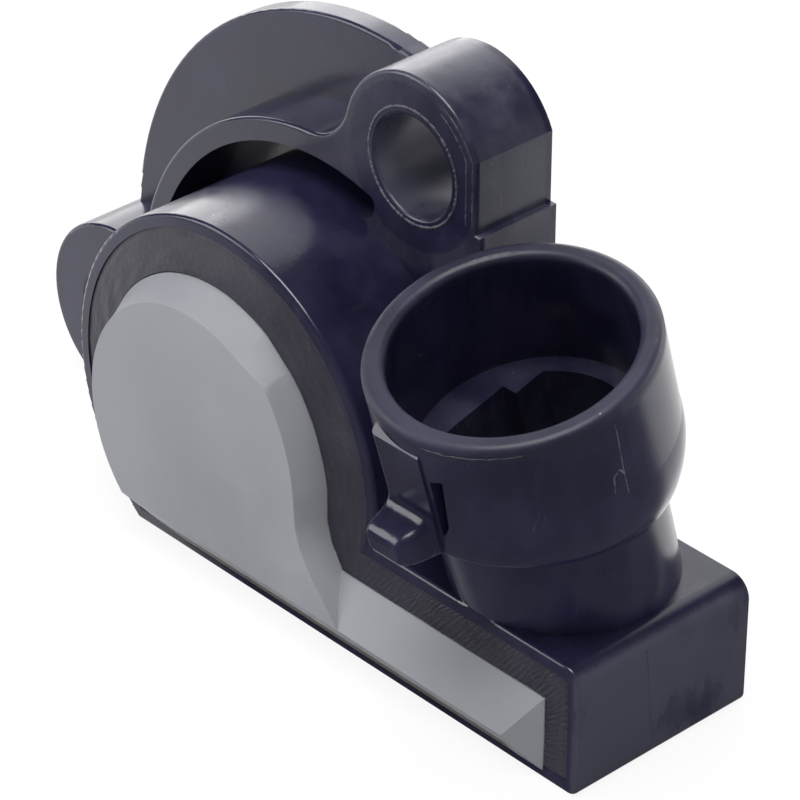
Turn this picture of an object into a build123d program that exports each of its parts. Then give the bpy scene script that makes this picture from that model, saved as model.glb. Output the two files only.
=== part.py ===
from build123d import *
import os
from math import asin, cos, degrees, radians, sin, tan

# Throttle position sensor: a sealed rotary potentiometer with a leaning plug socket.
# Millimetres. The origin is on the rotor's axis, in the mounting face. X runs along the
# rail towards the plug, -Y looks out of the cover and Z is up.
# A "level" is a distance in front of the mounting face, along -Y.

os.makedirs("parts", exist_ok=True)

# Drum, rail and block
body_depth = 13.2
drum_radius = 13.0
axis_height = 10.2
rail_height = 8.3
rail_end = 29.1
block_round = 1.3
base_round = 0.7

# Flange, ring, ears and column
flange_thickness = 1.7
flange_radius = 21.4
flange_start = 55.0
flange_span = 140.0
ear_thickness = 5.7
slot_width = 1.8
ring_wall = 1.4
upper_ear_x = 7.7
upper_ear_z = 17.4
upper_ear_radius = 5.65
upper_ear_flat = 5.15
left_ear_reach = 18.9
left_ear_radius = 6.1
ear_blend = 3.6
screw_hole_radius = 3.1
hole_round = 0.2
column_reach = 13.3
column_top = 15.3
slot_start = 71.0
slot_end = 166.0
edge_round = 0.25

# Plug socket
plug_x = 21.2
plug_setback = 6.55
plug_tilt = 15.5
plug_height = 17.0
shroud_radius = 8.15
shroud_skirt = 6.15
socket_radius = 6.85
socket_depth = 7.5
rim_round = 0.5
mouth_round = 0.45
skirt_start = 10.7
skirt_bend = 9.2
skirt_inset = 0.75
skirt_shift = (-0.4, -0.65)
neck_radius = 6.4
pocket_radius = 5.7
pocket_half_width = 4.7
pocket_key_half_width = 3.7
pocket_key_start = 2.2
pocket_depth = 13.8

# Lock on the front of the shroud: a flat pad, a nose below it and a slanting flank
lock_left = -2.7
lock_width = 2.2
lock_root = 1.6
lock_top = 0.4
lock_pad_top = 1.5
lock_pad = 0.08
lock_swell = 5.7
lock_nose_top = 7.5
lock_bottom = 8.6
lock_nose = 2.15
lock_flank = ((0.0, lock_nose), (0.4, 2.05), (0.7, 1.7), (1.4, 0.14))
lock_corner = 0.4
lock_round = 0.3
lock_groove = ((1.25, 3.1), (2.1, 2.8), (1.75, 6.3), (1.2, 7.4))
lock_groove_depth = 0.8
lock_groove_round = 0.1

# Cover and the rim rolled over it
lip_thickness = 0.8
lip_border = 0.8
lip_step = 0.12
cover_rise = 1.8
cover_foot = 0.55
cover_ridge = 3.0
cover_rail_top = 5.4
cover_rail_end = 26.5
cover_end_slope = 1.5
cover_bend = 62.0

# Cover outline where it leaves the rim, as X and height over the base
cover_centre = (-0.72, 9.73)
cover_radius = 9.57
cover_corner = (5.8, 16.6)
cover_side = (7.75, 13.85)
cover_flank = (8.85, 10.2)
cover_neck = (8.85, 8.1)
cover_waist = (9.2, 6.9)
cover_prow = (10.1, 5.4)
cover_run_out = 14.0

# The same outline round the cover's flat front
crown_centre = (-0.73, 9.15)
crown_radius = 8.97
crown_corner = (5.72, 16.3)
crown_side = (7.15, 13.9)
crown_flank = (8.1, 10.0)
crown_neck = (8.2, 8.3)
crown_waist = (8.6, 7.0)
crown_prow = (9.6, 5.4)
crown_run_out = 11.8

# Cover plate under the rim
cover_flange = 1.0
cover_wall = 1.4
cover_fit = 0.05

# Inner cavity, bearing and shaft opening
seat_wall = 1.4
cavity_wall = 2.4
cavity_floor = 5.0
gasket_thickness = 0.3
boss_radius = 6.6
boss_height = 1.2
shaft_opening_radius = 6.5
shaft_opening_depth = 2.5
seal_radius = 6.2
seal_thickness = 1.1
seal_lip_gap = 0.06
part_gap = 0.02

# Rotor, its travel and its stops
journal_radius = 4.9
journal_gap = 0.05
rotor_float = 0.1
rotor_recess = 0.1
rotor_hub_radius = 6.0
rotor_hub_height = 1.0
rotor_disc_radius = 7.3
rotor_arm_radius = 9.3
rotor_arm_start = 20.0
rotor_arm_span = 115.0
rotor_disc_thickness = 1.6
drive_slot_width = 2.6
drive_slot_length = 7.4
drive_slot_depth = 4.4
rotor_travel = 95.0
stop_lug_angle = 45.0
stop_lug_span = 16.0
stop_lug_height = 0.9
stop_rib_span = 8.0
stop_rib_gap = 0.4
stop_rib_root = 0.7
stop_clearance = 1.5

# Element board, tracks and printed lines
board_thickness = 0.8
board_gap = 0.2
track_thickness = 0.05
resistor_overrun = 14.0
collector_overrun = 8.0
collector_drop_angle = 10.0
link_span = 4.0
resistor_radius = 7.85
collector_radius = 5.55
track_width = 1.4
inner_trace_radius = 3.4
trace_width = 0.5
trace_pitch = 1.2
pad_length = 1.9
pad_height = 1.3

# Terminals
terminal_pitch = 2.7
terminal_width = 1.5
terminal_thickness = 0.6
terminal_recess = 9.0
terminal_bend = 0.4
terminal_foot = 0.9
terminal_lead_in = 0.15

# Wiper
wiper_angle = 70.0
wiper_thickness = 0.2
wiper_plate_width = 1.5
wiper_heel = 2.4
wiper_finger_width = 0.45
wiper_finger_spread = 0.35
wiper_contact_gap = 0.06
wiper_peg_radius = 0.45
wiper_peg_height = 0.6
wiper_tip_drop = 0.5

# Return spring
spring_wire = 0.6
spring_clearance = 0.3
spring_turns = 2.25
spring_turn = 120.0
spring_pitch = 0.66
spring_leg = 2.0
spring_seat_gap = 0.1
spring_post_radius = 0.6
spring_hole_gap = 0.1

# Places and levels that follow from the driving sizes
base = -axis_height
rail_top = base + rail_height
left_ear_z = base + left_ear_radius
front = Plane.XZ
lip_level = body_depth - lip_thickness
cover_seat_level = lip_level - cover_flange
shoulder_level = cover_seat_level - gasket_thickness
board_level = cover_seat_level - board_thickness
track_level = board_level - track_thickness
seal_level = shaft_opening_depth + seal_thickness
boss_level = cavity_floor + boss_height
rotor_rear_level = shaft_opening_depth + rotor_recess
hub_level = boss_level + rotor_float
disc_level = hub_level + rotor_hub_height
rotor_face_level = disc_level + rotor_disc_thickness
cavity_radius = drum_radius - cavity_wall
cavity_ceiling = rail_top - cavity_wall
board_wall = cavity_wall + board_gap
slot_radius = drum_radius + slot_width
slot_corner = slot_width / 3
ring_radius = slot_radius + ring_wall
lean = radians(plug_tilt)
plug = Plane(
    origin=(plug_x, -plug_setback, rail_top),
    x_dir=(1, 0, 0),
    z_dir=(0, -sin(lean), cos(lean)),
)
pocket_floor = plug_height - pocket_depth
slot_drop = (cavity_wall + terminal_thickness) / cos(lean)
tail_middle = base + rail_height / 2
terminal_names = ("signal", "ground", "supply")
terminal_offsets = (-terminal_pitch, 0, terminal_pitch)
spring_radius = boss_radius + spring_clearance + spring_wire / 2
spring_level = cavity_floor + spring_seat_gap + spring_wire / 2
spring_coil = Helix(
    pitch=spring_pitch,
    height=spring_pitch * spring_turns,
    radius=spring_radius,
    center=(0, -spring_level, 0),
    direction=(0, -1, 0),
).rotate(Axis((0, 0, 0), (0, -1, 0)), spring_turn)
spring_start = spring_coil @ 0
spring_finish = spring_coil @ 1


def corner_box(x_low, z_low, x_high, z_high, mode=Mode.ADD):
    """Draw a rectangle given by two opposite corners in the active sketch."""
    with Locations(((x_low + x_high) / 2, (z_low + z_high) / 2)):
        Rectangle(x_high - x_low, z_high - z_low, mode=mode)


def body_outline(inset):
    """Draw the drum with its rail, cut flat at the base, all moved inwards by inset."""
    reach = drum_radius + rail_end
    Circle(drum_radius - inset)
    corner_box(0, base + inset, rail_end - inset, rail_top - inset)
    corner_box(-reach, base - reach, reach, base + inset, mode=Mode.SUBTRACT)


def ring_sector(inner, outer, start, span):
    """Draw the piece of a ring between two angles, in degrees from +X towards +Z."""
    with BuildLine() as edge:
        outer_arc = CenterArc((0, 0), outer, start, span)
        inner_arc = CenterArc((0, 0), inner, start, span)
        Line(outer_arc @ 0, inner_arc @ 0)
        Line(outer_arc @ 1, inner_arc @ 1)
    make_face(edge.edges())


def base_plane(level):
    """Give the plane at a level that is drawn on in X and height over the base."""
    return Plane(origin=(0, -level, base), x_dir=(1, 0, 0), z_dir=(0, -1, 0))


def cover_section(centre, radius, foot, points, run_out):
    """Draw a section of the cover: an arc over the top, a chord, a flatter side and a prow."""
    corner, side, *lower = points
    low = 180 + degrees(asin((centre[1] - foot) / radius))
    with BuildLine() as edge:
        crest = CenterArc(centre, radius, cover_bend, low - cover_bend)
        Line(crest @ 0, corner)
        ThreePointArc(corner, side, lower[0])
        Polyline(*lower, (run_out, foot), crest @ 1)
    make_face(edge.edges())


def cover_base(grow):
    """Draw the outline of the cover where it comes through the rim, larger by grow."""
    turns = (cover_corner, cover_side, cover_flank, cover_neck, cover_waist, cover_prow)
    points = [(x + grow, z + grow) for x, z in turns]
    cover_section(cover_centre, cover_radius + grow, cover_foot - grow, points, cover_run_out)


def cover_rail(grow):
    """Draw the outline of the cover's rail, larger by grow."""
    corner_box(0, cover_foot - grow, cover_rail_end + grow, cover_rail_top + grow)


def spring_post_place():
    """Give the centre of the post, beside the end of the spring's fixed leg."""
    along = Vector(spring_start.X, spring_start.Z).normalized()
    beside = Vector(along.Y, -along.X)
    reach = spring_radius + spring_leg - spring_post_radius
    return along * reach + beside * (spring_wire / 2 + spring_post_radius + spring_seat_gap)


def lock_profile(nose):
    """Draw the lock's side view: a pad under the rim, and a swell to a nose that stands out by nose."""
    foot = plug_height - lock_bottom
    with BuildLine() as edge:
        pad = Polyline(
            (shroud_radius - lock_root, foot),
            (shroud_radius - lock_root, plug_height - lock_top),
            (shroud_radius + lock_pad, plug_height - lock_pad_top),
            (shroud_radius + lock_pad, plug_height - lock_swell),
        )
        nose_top = (shroud_radius + nose, plug_height - lock_nose_top)
        swell = Spline(pad @ 1, nose_top, tangents=((0, -1), (0, -1)))
        nose_face = Line(swell @ 1, (shroud_radius + nose, foot + lock_corner))
        corner = TangentArc(
            nose_face @ 1, (shroud_radius + nose - lock_corner, foot), tangent=nose_face % 1
        )
        Line(corner @ 1, pad @ 0)
    make_face(edge.edges())


# Housing, one moulding: the lock and the shroud first, then what they stand on
with BuildPart() as housing:
    # Lock, with rounded edges
    lock = Plane(
        origin=plug.from_local_coords(Vector(lock_left, 0, 0)),
        x_dir=-plug.y_dir,
        z_dir=(-1, 0, 0),
    )
    with BuildSketch(lock):
        lock_profile(lock_nose)
    extrude(amount=-lock_width)
    lock_side = housing.faces().sort_by(Axis.X)[0]
    lock_edges = lock_side.edges().filter_by(
        lambda edge: plug.to_local_coords(edge.center()).Y < -shroud_radius
    )
    fillet(lock_edges, lock_round)
    for distance, nose in lock_flank:
        with BuildSketch(lock.offset(-lock_width - distance)):
            lock_profile(nose)
    loft()

    # Shroud, with a skirt that draws in towards the rear right
    with BuildSketch(plug.offset(skirt_start)):
        Circle(shroud_radius)
    extrude(amount=plug_height - skirt_start)
    rim = plug.from_local_coords(Vector(0, shroud_radius, plug_height))
    fillet(housing.edges().sort_by_distance(rim)[0], rim_round)
    for section_height in (skirt_start, skirt_bend):
        with BuildSketch(plug.offset(section_height)):
            Circle(shroud_radius)
    skirt_radius = shroud_radius - skirt_inset
    with BuildSketch(Plane.XY.offset(rail_top + shroud_skirt)):
        with Locations((plug_x, -plug_setback - shroud_skirt * tan(lean))):
            with Locations(skirt_shift):
                Ellipse(skirt_radius, skirt_radius / cos(lean))
    loft()

    # Groove in the shroud beside the lock
    groove_floor = Plane(
        origin=plug.from_local_coords(Vector(0, lock_groove_depth - shroud_radius, plug_height)),
        x_dir=plug.x_dir,
        z_dir=-plug.y_dir,
    )
    with BuildSketch(groove_floor) as groove:
        with BuildLine():
            Polyline([(side, -depth) for side, depth in lock_groove], close=True)
        make_face()
        fillet(groove.vertices(), lock_groove_round)
    extrude(amount=lock_root, mode=Mode.SUBTRACT)

    # Neck
    with BuildSketch(plug.offset(-cavity_wall)):
        Circle(neck_radius)
    extrude(amount=cavity_wall + plug_height - socket_depth)

    # Ring, ears and column in one thick web
    with BuildSketch(front) as web:
        Circle(ring_radius)
        with Locations((upper_ear_x, upper_ear_z)):
            Circle(upper_ear_radius)
        with Locations((-left_ear_reach, left_ear_z)):
            Circle(left_ear_radius)
        upper_dip = web.vertices().sort_by_distance((0, ring_radius))[0]
        left_dip = web.vertices().sort_by_distance((-ring_radius, 0))[0]
        fillet([upper_dip, left_dip], ear_blend)
        corner_box(0, base, column_reach, column_top)
        corner_box(-left_ear_reach, base, 0, left_ear_z)
        corner_box(column_reach, base, flange_radius, flange_radius, mode=Mode.SUBTRACT)
        corner_box(
            upper_ear_x + upper_ear_flat, column_top, flange_radius, 2 * flange_radius, mode=Mode.SUBTRACT
        )
        corner_box(-ring_radius, -ring_radius, ring_radius, base, mode=Mode.SUBTRACT)
    extrude(amount=ear_thickness)
    web_front = housing.faces().filter_by(Axis.Y).sort_by(Axis.Y)[0]
    fillet(web_front.outer_wire().edges(), edge_round)

    # Drum, rail and block
    with BuildSketch(front) as body:
        body_outline(0)
        block_top = body.vertices().sort_by_distance((rail_end, rail_top))[0]
        fillet(block_top, block_round)
        block_foot = body.vertices().sort_by_distance((rail_end, base))[0]
        fillet(block_foot, base_round)
    extrude(amount=body_depth)
    drum_front = housing.faces().filter_by(Axis.Y).sort_by(Axis.Y)[0]
    fillet(drum_front.outer_wire().edges(), edge_round)

    # Flange disc between the two ears
    with BuildSketch(front):
        ring_sector(drum_radius - ring_wall, flange_radius, flange_start, flange_span)
        corner_box(upper_ear_x, 0, flange_radius, flange_radius, mode=Mode.SUBTRACT)
    extrude(amount=flange_thickness)
    flange_edges = housing.edges().filter_by(GeomType.CIRCLE).group_by(lambda edge: edge.radius)[-1]
    fillet(flange_edges, edge_round)

    # Arc slot that lightens the web round the drum
    with BuildSketch(front.offset(flange_thickness)) as arc_slot:
        ring_sector(drum_radius, slot_radius, slot_start, slot_end - slot_start)
        fillet(arc_slot.vertices(), slot_corner)
    extrude(amount=ear_thickness, mode=Mode.SUBTRACT)

    # Screw holes
    with BuildSketch(front):
        with Locations((upper_ear_x, upper_ear_z), (-left_ear_reach, left_ear_z)):
            Circle(screw_hole_radius)
    extrude(amount=ear_thickness, mode=Mode.SUBTRACT)
    hole_edges = housing.edges().filter_by(lambda edge: edge.is_closed and edge.center().Y < -flange_thickness)
    fillet(hole_edges.filter_by(GeomType.CIRCLE).group_by(lambda edge: edge.radius)[0], hole_round)

    # Socket for the plug, with a stepped pocket below its ledge
    with BuildSketch(plug.offset(plug_height - socket_depth)):
        Circle(socket_radius)
    extrude(amount=socket_depth, mode=Mode.SUBTRACT)
    mouth = plug.from_local_coords(Vector(0, -socket_radius, plug_height))
    fillet(housing.edges().sort_by_distance(mouth)[0], mouth_round)
    with BuildSketch(plug.offset(pocket_floor)):
        Circle(pocket_radius)
        Rectangle(2 * pocket_half_width, 2 * pocket_radius, mode=Mode.INTERSECT)
        corner_box(pocket_key_half_width, pocket_key_start, pocket_radius, pocket_radius, mode=Mode.SUBTRACT)
        corner_box(-pocket_radius, pocket_key_start, -pocket_key_half_width, pocket_radius, mode=Mode.SUBTRACT)
    extrude(amount=pocket_depth - socket_depth, mode=Mode.SUBTRACT)

    # Inner cavity, seat for the cover and opening in the rolled rim
    with BuildSketch(front.offset(cavity_floor)):
        body_outline(cavity_wall)
    extrude(amount=shoulder_level - cavity_floor, mode=Mode.SUBTRACT)
    with BuildSketch(front.offset(shoulder_level)):
        body_outline(seat_wall)
    extrude(amount=lip_level - shoulder_level, mode=Mode.SUBTRACT)
    with BuildSketch(base_plane(lip_level)):
        cover_base(cover_fit)
        cover_rail(cover_fit)
    extrude(amount=lip_thickness, mode=Mode.SUBTRACT)
    with BuildSketch(front.offset(body_depth - lip_step)):
        body_outline(lip_border)
    extrude(amount=lip_step, mode=Mode.SUBTRACT)

    # Bearing boss, stop ribs, shaft opening and terminal slots
    with BuildSketch(front.offset(cavity_floor)):
        Circle(boss_radius)
    extrude(amount=boss_height)
    stop_low = stop_lug_angle - stop_lug_span / 2 - stop_clearance - stop_rib_span
    stop_high = stop_lug_angle + rotor_travel + stop_lug_span / 2 + stop_clearance
    with BuildSketch(front.offset(cavity_floor)):
        for start in (stop_low, stop_high):
            ring_sector(
                rotor_arm_radius + stop_rib_gap, cavity_radius + stop_rib_root, start, stop_rib_span
            )
    extrude(amount=rotor_face_level - cavity_floor)
    with BuildSketch(front):
        Circle(journal_radius + journal_gap)
    extrude(amount=boss_level, mode=Mode.SUBTRACT)
    with BuildSketch(front):
        Circle(seal_radius)
    extrude(amount=seal_level, mode=Mode.SUBTRACT)
    with BuildSketch(front):
        Circle(shaft_opening_radius)
    extrude(amount=shaft_opening_depth, mode=Mode.SUBTRACT)
    with BuildSketch(plug.offset(-slot_drop)):
        for offset_x in terminal_offsets:
            with Locations((offset_x, 0)):
                Rectangle(terminal_width + 2 * part_gap, terminal_thickness + 2 * part_gap)
    extrude(amount=slot_drop + pocket_floor, mode=Mode.SUBTRACT)

    # Post that the spring's fixed leg bears on
    with BuildSketch(front.offset(cavity_floor)):
        with Locations(spring_post_place()):
            Circle(spring_post_radius)
    extrude(amount=2 * spring_wire)
housing.part.label = "housing"
export_step(housing.part, "parts/housing.step")


# Cover: a flange under the rolled rim, a neck through it, a raised dome and a roofed rail
with BuildPart() as cover:
    with BuildSketch(front.offset(cover_seat_level)):
        body_outline(seat_wall + cover_fit)
    extrude(amount=cover_flange)
    with BuildSketch(base_plane(lip_level)):
        cover_base(0)
        cover_rail(0)
    extrude(amount=lip_thickness)
    with BuildSketch(base_plane(body_depth)):
        cover_base(0)
    with BuildSketch(base_plane(body_depth + cover_rise)):
        crown = (crown_corner, crown_side, crown_flank, crown_neck, crown_waist, crown_prow)
        cover_section(crown_centre, crown_radius, cover_ridge, crown, crown_run_out)
    loft(ruled=True)
    roof = Plane(origin=(cover_rail_end, -body_depth, base), x_dir=(0, -1, 0), z_dir=(-1, 0, 0))
    with BuildSketch(roof):
        with BuildLine():
            Polyline((0, cover_foot), (cover_rise, cover_ridge), (0, cover_rail_top), close=True)
        make_face()
    extrude(amount=cover_rail_end)
    end_slope = Plane(
        origin=(cover_rail_end, -body_depth, 0),
        x_dir=(0, 0, 1),
        z_dir=(cover_rise, -cover_end_slope, 0),
    )
    split(bisect_by=end_slope, keep=Keep.BOTTOM)
    with BuildSketch(base_plane(cover_seat_level)):
        with Locations(crown_centre):
            Circle(crown_centre[1] - cover_ridge - cover_wall)
    extrude(amount=body_depth + cover_rise - cover_wall - cover_seat_level, mode=Mode.SUBTRACT)
cover.part.label = "cover"
export_step(cover.part, "parts/cover.step")

# Gasket between the cover's flange and its shoulder
with BuildPart() as gasket:
    with BuildSketch(front.offset(shoulder_level)):
        body_outline(seat_wall + cover_fit)
    extrude(amount=gasket_thickness)
    with BuildSketch(front.offset(shoulder_level)):
        body_outline(cavity_wall)
    extrude(amount=gasket_thickness, mode=Mode.SUBTRACT)
gasket.part.label = "cover_gasket"
export_step(gasket.part, "parts/cover_gasket.step")

# Element board behind the cover, with its tail under the plug
with BuildPart() as board:
    with BuildSketch(front.offset(board_level)):
        body_outline(board_wall)
    extrude(amount=board_thickness)
board.part.label = "element_board"
export_step(board.part, "parts/element_board.step")


def track(radius, overrun):
    """Draw a track's arc under the wiper's whole travel, longer by overrun at both ends."""
    ring_sector(
        radius - track_width / 2,
        radius + track_width / 2,
        wiper_angle - overrun,
        rotor_travel + 2 * overrun,
    )


def arc_line(radius, start, stop):
    """Draw a printed line along an arc."""
    ring_sector(radius - trace_width / 2, radius + trace_width / 2, start, stop - start)


def straight_line(x_start, z_start, x_stop, z_stop):
    """Draw a printed line along X or Z, with square ends."""
    half = trace_width / 2
    corner_box(
        min(x_start, x_stop) - half,
        min(z_start, z_stop) - half,
        max(x_start, x_stop) + half,
        max(z_start, z_stop) + half,
    )


def pad(x_middle):
    """Draw the pad that a terminal's foot lies on."""
    corner_box(
        x_middle - pad_length / 2,
        tail_middle - pad_height / 2,
        x_middle + pad_length / 2,
        tail_middle + pad_height / 2,
    )


# Resistor and collector tracks on the side that faces the rotor
with BuildPart() as resistor:
    with BuildSketch(front.offset(track_level)):
        track(resistor_radius, resistor_overrun)
    extrude(amount=track_thickness)
resistor.part.label = "resistor_track"
export_step(resistor.part, "parts/resistor_track.step")

with BuildPart() as collector:
    with BuildSketch(front.offset(track_level)):
        track(collector_radius, collector_overrun)
    extrude(amount=track_thickness)
collector.part.label = "collector_track"
export_step(collector.part, "parts/collector_track.step")

# Printed lines from the tracks to the three pads on the board's tail
signal_x, ground_x, supply_x = (plug_x + offset_x for offset_x in terminal_offsets)
upper_lane = tail_middle + trace_pitch
lower_lane = tail_middle - trace_pitch
upper_lane_angle = degrees(asin(upper_lane / resistor_radius))
upper_lane_x = resistor_radius * cos(radians(upper_lane_angle))
collector_drop_x = collector_radius * sin(radians(collector_drop_angle))
collector_drop_z = -collector_radius * cos(radians(collector_drop_angle))
resistor_low = wiper_angle - resistor_overrun
resistor_high = wiper_angle + rotor_travel + resistor_overrun
with BuildPart() as traces:
    with BuildSketch(front.offset(track_level)):
        arc_line(collector_radius, wiper_angle - collector_overrun, collector_drop_angle - 90)
        straight_line(collector_drop_x, collector_drop_z, collector_drop_x, tail_middle)
        straight_line(collector_drop_x, tail_middle, signal_x, tail_middle)
        pad(signal_x)
    extrude(amount=track_thickness)
    with BuildSketch(front.offset(track_level)):
        arc_line(resistor_radius, resistor_low, upper_lane_angle)
        straight_line(upper_lane_x, upper_lane, ground_x, upper_lane)
        straight_line(ground_x, upper_lane, ground_x, tail_middle)
        pad(ground_x)
    extrude(amount=track_thickness)
    with BuildSketch(front.offset(track_level)):
        ring_sector(
            inner_trace_radius - trace_width / 2,
            resistor_radius + track_width / 2,
            resistor_high,
            link_span,
        )
        arc_line(inner_trace_radius, resistor_high, 270)
        straight_line(0, -inner_trace_radius, 0, lower_lane)
        straight_line(0, lower_lane, supply_x, lower_lane)
        straight_line(supply_x, lower_lane, supply_x, tail_middle)
        pad(supply_x)
    extrude(amount=track_thickness)
traces.part.label = "conductor_traces"
export_step(traces.part, "parts/conductor_traces.step")

# Terminals: a blade in the socket, a drop through the block and a foot on its pad
blade_tip = plug_height - terminal_recess
drop_z = cavity_ceiling - terminal_thickness
drop_level = plug_setback - (rail_top - drop_z) * tan(lean)
foot_level = track_level - terminal_thickness / 2
run_z = tail_middle - (terminal_foot - terminal_thickness) / 2
for terminal_name, offset_x in zip(terminal_names, terminal_offsets):
    strip = Plane(origin=(plug_x + offset_x, 0, 0), x_dir=(0, -1, 0), z_dir=(-1, 0, 0))
    with BuildPart() as terminal:
        with BuildSketch(strip):
            with BuildLine():
                FilletPolyline(
                    (plug_setback + blade_tip * sin(lean), rail_top + blade_tip * cos(lean)),
                    (drop_level, drop_z),
                    (drop_level, run_z),
                    (foot_level, run_z),
                    (foot_level, run_z + terminal_foot),
                    radius=terminal_bend,
                )
            trace(line_width=terminal_thickness)
        extrude(amount=terminal_width / 2, both=True)
        chamfer(terminal.faces().sort_by(Axis.Z)[-1].edges(), terminal_lead_in)
    terminal.part.label = "terminal_" + terminal_name
    export_step(terminal.part, "parts/terminal_" + terminal_name + ".step")

# Wiper: a plate on the rotor's face and two pairs of sprung fingers, one pair on each track
radial = Vector(cos(radians(wiper_angle)), 0, sin(radians(wiper_angle)))
tangent = Vector(-sin(radians(wiper_angle)), 0, cos(radians(wiper_angle)))
finger_radii = [
    radius + side * wiper_finger_spread
    for radius in (collector_radius, resistor_radius)
    for side in (-1, 1)
]
plate_inner = finger_radii[0] - wiper_finger_width / 2
plate_outer = finger_radii[-1] + wiper_finger_width / 2
plate_middle = (plate_inner + plate_outer) / 2
plate_back = -wiper_heel - wiper_plate_width / 2
peg_places = [(collector_radius, plate_back), (resistor_radius, plate_back)]
plate_plane = Plane(origin=(0, -rotor_face_level, 0), x_dir=radial, z_dir=(0, -1, 0))
finger_base = rotor_face_level + wiper_thickness / 2
finger_top = track_level - wiper_contact_gap - wiper_thickness / 2
with BuildPart() as wiper:
    with BuildSketch(plate_plane):
        with Locations((plate_middle, plate_back)):
            Rectangle(plate_outer - plate_inner, wiper_plate_width)
        with Locations(*peg_places):
            Circle(wiper_peg_radius + part_gap, mode=Mode.SUBTRACT)
    extrude(amount=wiper_thickness)
    for finger_radius in finger_radii:
        with BuildSketch(Plane(origin=radial * finger_radius, x_dir=tangent, z_dir=radial)):
            with BuildLine():
                Polyline(
                    (plate_back, finger_base),
                    (-wiper_heel + wiper_thickness, finger_base),
                    (0, finger_top),
                    (wiper_tip_drop, finger_top - wiper_tip_drop),
                )
            trace(line_width=wiper_thickness)
        extrude(amount=wiper_finger_width / 2, both=True)
    with BuildSketch(plate_plane):
        with Locations(*peg_places):
            Circle(wiper_peg_radius + part_gap)
    extrude(amount=wiper_thickness, mode=Mode.SUBTRACT)
wiper.part.label = "wiper"
export_step(wiper.part, "parts/wiper.step")

# Rotor: journal with a drive slot, hub, disc with a wiper arm and a stop lug, and the wiper's pegs
with BuildPart() as rotor:
    with BuildSketch(front.offset(rotor_rear_level)):
        Circle(journal_radius)
    extrude(amount=hub_level - rotor_rear_level)
    with BuildSketch(front.offset(hub_level)):
        Circle(rotor_hub_radius)
    extrude(amount=rotor_hub_height)
    with BuildSketch(front.offset(disc_level)):
        Circle(rotor_disc_radius)
        ring_sector(rotor_hub_radius, rotor_arm_radius, rotor_arm_start, rotor_arm_span)
        ring_sector(
            rotor_hub_radius,
            rotor_arm_radius + stop_lug_height,
            stop_lug_angle - stop_lug_span / 2,
            stop_lug_span,
        )
    extrude(amount=rotor_disc_thickness)
    with BuildSketch(plate_plane):
        with Locations(*peg_places):
            Circle(wiper_peg_radius)
    extrude(amount=wiper_peg_height)
    with BuildSketch(front.offset(rotor_rear_level)):
        Rectangle(drive_slot_length, drive_slot_width)
    extrude(amount=drive_slot_depth, mode=Mode.SUBTRACT)
    with BuildSketch(front.offset(disc_level)):
        with Locations((spring_finish.X, spring_finish.Z)):
            Circle(spring_wire / 2 + spring_hole_gap)
    extrude(amount=rotor_disc_thickness, mode=Mode.SUBTRACT)
rotor.part.label = "rotor"
export_step(rotor.part, "parts/rotor.step")

# Return spring: a coil round the boss, a leg out to the post and a leg into the rotor
spring_out = Vector(spring_start.X, 0, spring_start.Z).normalized()
with BuildPart() as spring:
    with BuildSketch(Plane(origin=spring_start, z_dir=spring_coil % 0)):
        Circle(spring_wire / 2)
    sweep(path=spring_coil, is_frenet=True)
    with BuildSketch(Plane(origin=spring_start, z_dir=spring_out)):
        Circle(spring_wire / 2)
    extrude(amount=spring_leg)
    with BuildSketch(Plane(origin=spring_finish + (0, spring_wire / 4, 0), z_dir=(0, -1, 0))):
        Circle(spring_wire / 2)
    extrude(amount=disc_level + rotor_disc_thickness / 2 + spring_finish.Y + spring_wire / 4)
spring.part.label = "return_spring"
export_step(spring.part, "parts/return_spring.step")

# Seal round the rotor's journal, at the bottom of the shaft opening
with BuildPart() as seal:
    with BuildSketch(front.offset(shaft_opening_depth)):
        Circle(seal_radius - part_gap)
        Circle(journal_radius + seal_lip_gap, mode=Mode.SUBTRACT)
    extrude(amount=seal_thickness)
seal.part.label = "shaft_seal"
export_step(seal.part, "parts/shaft_seal.step")
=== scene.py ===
# %% [markdown]
# # A throttle position sensor
# The sensor is a small sealed potentiometer: a dark moulded housing with two screw ears and a
# leaning plug socket, and a grey cover that the housing's rim is rolled over. The solids come
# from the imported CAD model. This lesson gives them their light, their finishes and the small
# marks that moulding and assembly leave.

# %% Load the frame
import math

import bmesh
import bpy
import numpy as np
from mathutils import Matrix, Vector


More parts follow.
